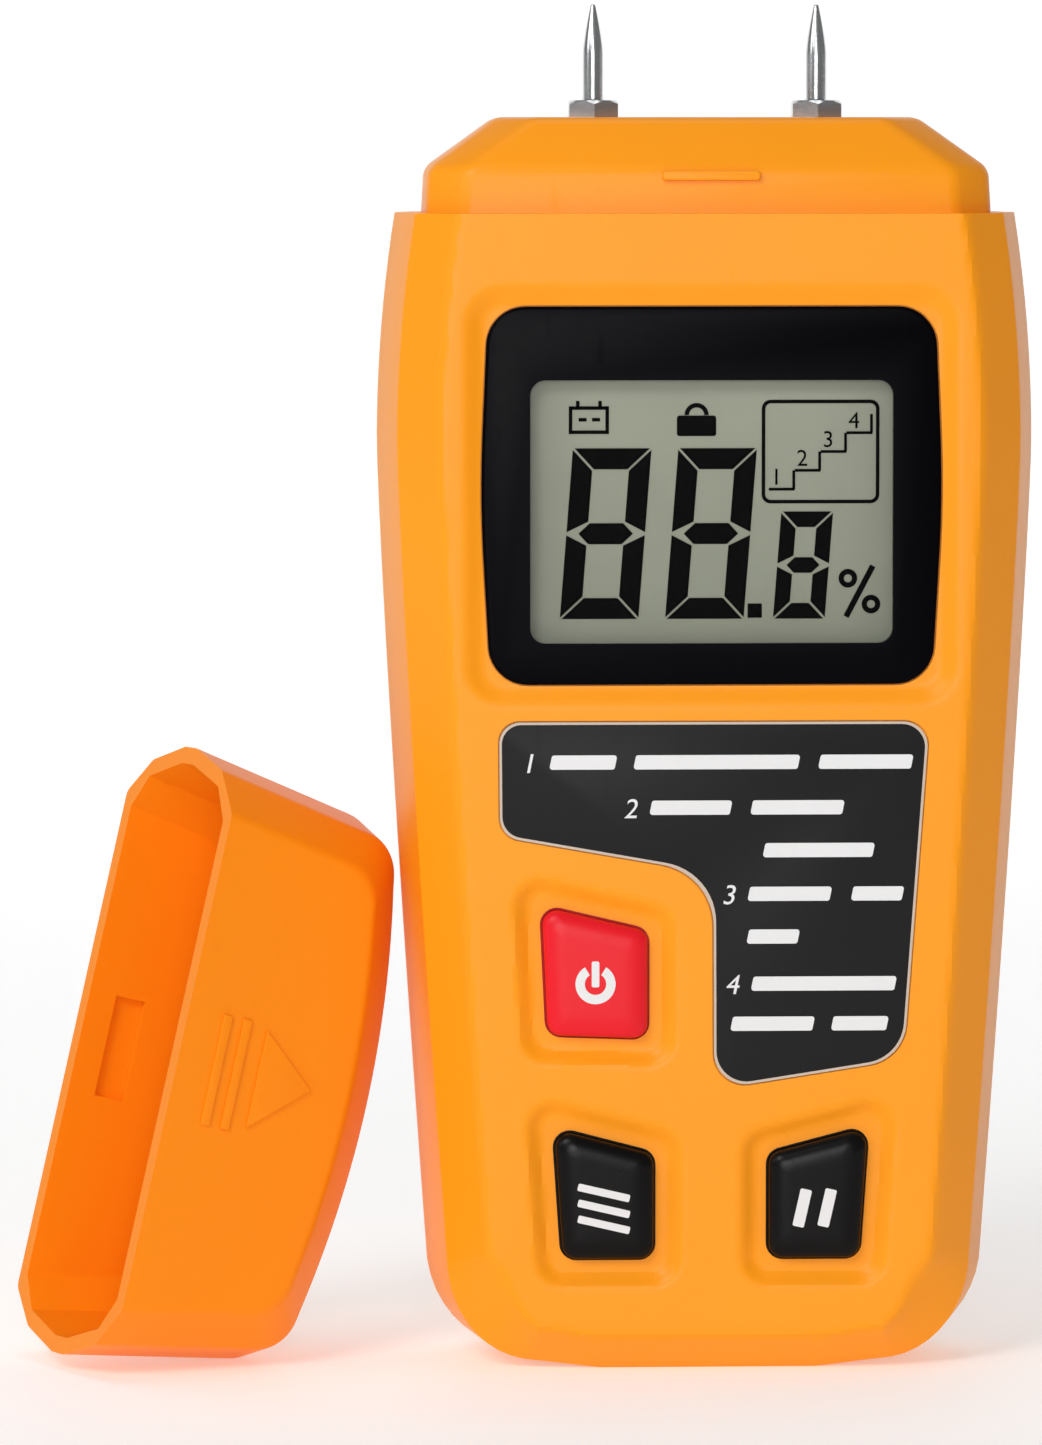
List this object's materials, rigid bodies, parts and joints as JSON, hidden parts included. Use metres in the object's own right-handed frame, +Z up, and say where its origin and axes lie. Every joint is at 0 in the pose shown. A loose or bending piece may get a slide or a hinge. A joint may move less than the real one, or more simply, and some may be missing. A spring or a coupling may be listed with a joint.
{
  "type": "moisture meter",
  "caption": "Hand-held two-pin moisture meter with LCD, three keys, wood group label, battery door and a pull-off protective cap standing beside it.",
  "frame": {"origin": "centre of the flat foot of the case, where the meter stands upright", "axes": "+Z up the case towards the pins, -Y out of the display, +X to the right as the display is read"},
  "size_m": [0.115, 0.0387, 0.1534],
  "materials": {
    "case_orange": "satin moulded ABS",
    "cap_orange": "satin moulded ABS",
    "bezel_black": "high gloss",
    "window_clear": "clear acrylic",
    "lcd_glass": "matt reflective liquid crystal glass",
    "holder_white": "matt",
    "zebra_rubber": "matt striped rubber",
    "board_green": "solder resist on glass fibre",
    "chip_black": "moulded resin",
    "part_tan": "ceramic",
    "can_steel": "satin",
    "key_red": "satin",
    "key_black": "gloss",
    "label_dark": "satin overlay film",
    "pin_steel": "polished steel",
    "socket_brass": "turned",
    "screw_steel": "zinc plated",
    "battery_jacket": "printed steel jacket",
    "snap_black": "vinyl",
    "lead_red": "vinyl",
    "lead_white": "vinyl"
  },
  "bodies": {
    "meter": {"front_shell": "case_orange", "back_shell": "case_orange", "display_bezel": "bezel_black", "display_window": "window_clear", "lcd_panel": "lcd_glass", "lcd_holder": "holder_white", "zebra_strips": "zebra_rubber", "circuit_board": "board_green", "microcontroller": "chip_black", "amplifier_chip": "chip_black", "switch_housings": "chip_black", "small_parts": "part_tan", "crystal": "can_steel", "electrolytic_capacitor": "can_steel", "label_plate": "label_dark", "left_pin": "pin_steel", "right_pin": "pin_steel", "pin_nuts": "pin_steel", "pin_sockets": "socket_brass", "case_screws": "screw_steel", "board_screws": "screw_steel", "battery_terminals": "screw_steel", "battery": "battery_jacket", "battery_snap": "snap_black", "negative_lead": "snap_black", "positive_lead": "lead_red", "left_pin_lead": "lead_white", "right_pin_lead": "lead_white"},
    "cap": {"cap": "cap_orange"},
    "power_key": {"power_key": "key_red", "power_plunger": "holder_white"},
    "mode_key": {"mode_key": "key_black", "mode_plunger": "holder_white"},
    "hold_key": {"hold_key": "key_black", "hold_plunger": "holder_white"},
    "battery_door": {"battery_door": "case_orange"}
  },
  "joints": [
    {"name": "cap_lift", "type": "slide", "parent": "meter", "child": "cap", "axis": [-0.3, 0, 0.9539], "range_m": [0, 0.14]},
    {"name": "power_press", "type": "slide", "parent": "meter", "child": "power_key", "axis": [0, 1, 0], "range_m": [0, 0.0005], "stiffness_N_per_m": 3000, "springref_m": -0.0002},
    {"name": "mode_press", "type": "slide", "parent": "meter", "child": "mode_key", "axis": [0, 1, 0], "range_m": [0, 0.0005], "stiffness_N_per_m": 3000, "springref_m": -0.0002},
    {"name": "hold_press", "type": "slide", "parent": "meter", "child": "hold_key", "axis": [0, 1, 0], "range_m": [0, 0.0005], "stiffness_N_per_m": 3000, "springref_m": -0.0002},
    {"name": "battery_door_pull", "type": "slide", "parent": "meter", "child": "battery_door", "axis": [0, 1, 0], "range_m": [0, 0.03]}
  ]
}
